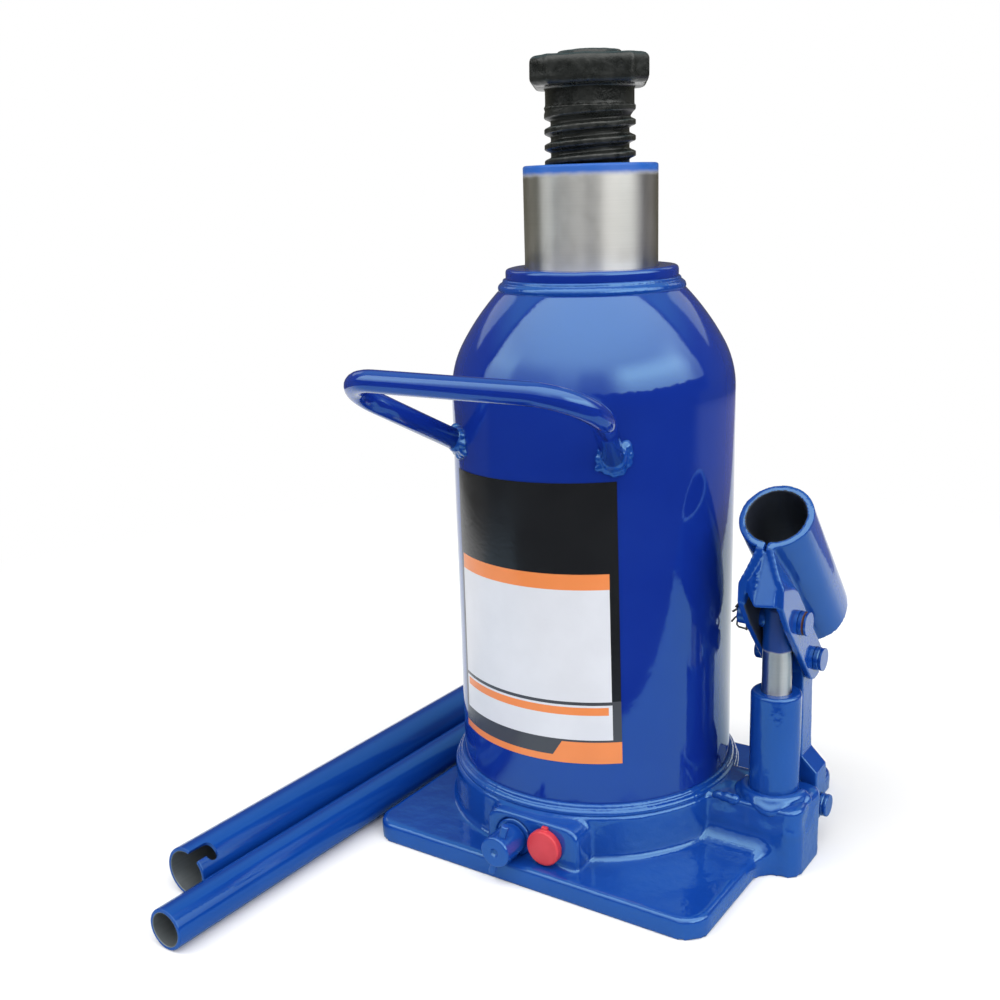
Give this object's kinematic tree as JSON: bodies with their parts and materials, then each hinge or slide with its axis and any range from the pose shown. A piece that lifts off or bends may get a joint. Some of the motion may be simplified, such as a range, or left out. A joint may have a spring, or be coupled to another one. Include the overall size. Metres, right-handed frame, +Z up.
{
  "type": "hydraulic bottle jack",
  "caption": "Hydraulic bottle jack: domed oil tank on a cast base, ram with extension screw, side pump with lever socket, release valve, carry handle and two-piece pump handle.",
  "frame": {"origin": "on the ground under the ram axis, in the plane of the base's foot", "axes": "+Z up along the ram, +X towards the pump, -Y towards the operator and the release valve"},
  "size_m": [0.1973, 0.3372, 0.2979],
  "materials": {
    "blue_paint": "gloss enamel with a light orange peel",
    "tube_paint": "gloss enamel outside, bare inside",
    "ground_steel": "ground and polished round",
    "black_oxide": "black oxide, oiled",
    "plain_steel": "machined",
    "dark_wire": "dark wire",
    "seal_rubber": "moulded",
    "copper_gasket": "soft copper",
    "red_plastic": "moulded, semi gloss",
    "label_film": "printed film with plain colour blocks"
  },
  "bodies": {
    "jack_body": {"base_casting": "blue_paint", "reservoir_tank": "blue_paint", "tank_weld_ring": "blue_paint", "neck_weld_ring": "blue_paint", "top_collar": "blue_paint", "collar_wiper": "seal_rubber", "collar_o_ring": "seal_rubber", "ram_cylinder": "plain_steel", "cylinder_gasket": "copper_gasket", "pump_cylinder": "blue_paint", "pump_gasket": "copper_gasket", "plunger_seal": "seal_rubber", "base_pin": "blue_paint", "base_pin_cotter": "dark_wire", "release_gland": "blue_paint", "safety_cap": "red_plastic", "safety_adjuster": "plain_steel", "safety_spring": "plain_steel", "suction_spring": "plain_steel", "suction_plug": "plain_steel", "delivery_retainer": "plain_steel", "filler_plug": "seal_rubber", "carry_handle": "blue_paint", "carry_handle_welds": "blue_paint", "label_plate": "label_film"},
    "ram_body": {"ram": "ground_steel", "ram_piston": "plain_steel", "ram_cup_seal": "seal_rubber", "ram_nut": "plain_steel"},
    "screw_ring": {"screw_stop_ring": "black_oxide"},
    "screw": {"extension_screw": "black_oxide"},
    "plunger": {"pump_plunger": "ground_steel"},
    "lever": {"handle_socket": "blue_paint", "plunger_pin": "blue_paint", "link_pin": "blue_paint", "plunger_pin_cotter": "dark_wire", "link_pin_cotter": "dark_wire"},
    "link": {"pump_link": "blue_paint"},
    "release_seat_ball": {"release_ball": "plain_steel"},
    "release_stem": {"release_valve": "blue_paint", "release_cross_pin": "blue_paint"},
    "suction_valve_ball": {"suction_ball": "plain_steel"},
    "delivery_valve_ball": {"delivery_ball": "plain_steel"},
    "safety_valve_ball": {"safety_ball": "plain_steel"},
    "slotted_tube": {"handle_tube_slotted": "tube_paint"},
    "plain_tube": {"handle_tube_plain": "tube_paint"}
  },
  "joints": [
    {"name": "ram_lift", "type": "slide", "parent": "jack_body", "child": "ram_body", "axis": [0, 0, 1], "range_m": [-0.0295, 0.1205]},
    {"name": "screw_rise", "type": "slide", "parent": "ram_body", "child": "screw_ring", "axis": [0, 0, 1], "range_m": [-0.0264, 0.0336]},
    {"name": "screw_turn", "type": "hinge", "parent": "screw_ring", "child": "screw", "pos_m": [0, 0, 0.2587], "axis": [0, 0, 1], "range_deg": [-1720, 2190]},
    {"name": "plunger_stroke", "type": "slide", "parent": "jack_body", "child": "plunger", "axis": [0, 0, 1], "range_m": [-0.0157, 0.00196]},
    {"name": "lever_swing", "type": "hinge", "parent": "plunger", "child": "lever", "pos_m": [0.077, 0, 0.0957], "axis": [1, 0, 0], "range_deg": [-5, 40]},
    {"name": "link_swing", "type": "hinge", "parent": "jack_body", "child": "link", "pos_m": [0.077, 0.0203, 0.015], "axis": [1, 0, 0], "range_deg": [-9.5, 1.5]},
    {"name": "release_travel", "type": "slide", "parent": "jack_body", "child": "release_seat_ball", "axis": [0, -1, 0], "range_m": [0, 0.0023]},
    {"name": "release_turn", "type": "hinge", "parent": "release_seat_ball", "child": "release_stem", "pos_m": [-0.001, -0.062, 0.0145], "axis": [0, -1, 0], "range_deg": [0, 540]},
    {"name": "suction_lift", "type": "slide", "parent": "jack_body", "child": "suction_valve_ball", "axis": [0, 0, -1], "range_m": [0, 0.0008], "stiffness_N_per_m": 50, "springref_m": -0.001, "deforming": ["suction_spring"]},
    {"name": "delivery_lift", "type": "slide", "parent": "jack_body", "child": "delivery_valve_ball", "axis": [0, 0, 1], "range_m": [0, 0.0008]},
    {"name": "safety_lift", "type": "slide", "parent": "jack_body", "child": "safety_valve_ball", "axis": [0, -1, 0], "range_m": [0, 0.001], "stiffness_N_per_m": 60, "springref_m": -0.001, "deforming": ["safety_spring"]},
    {"name": "slotted_tube_lift", "type": "slide", "parent": "jack_body", "child": "slotted_tube", "axis": [0, 0, 1], "range_m": [0, 0.3]},
    {"name": "plain_tube_lift", "type": "slide", "parent": "jack_body", "child": "plain_tube", "axis": [0, 0, 1], "range_m": [0, 0.3]}
  ],
  "couplings": [
    {"joint": "screw_rise", "follows": "screw_turn", "m_per_rad": 0.00087535},
    {"joint": "lever_swing", "follows": "plunger_stroke", "rad_per_m": -44.346},
    {"joint": "link_swing", "follows": "plunger_stroke", "rad_per_m": 9.867},
    {"joint": "release_travel", "follows": "release_turn", "m_per_rad": 0.00023873}
  ]
}
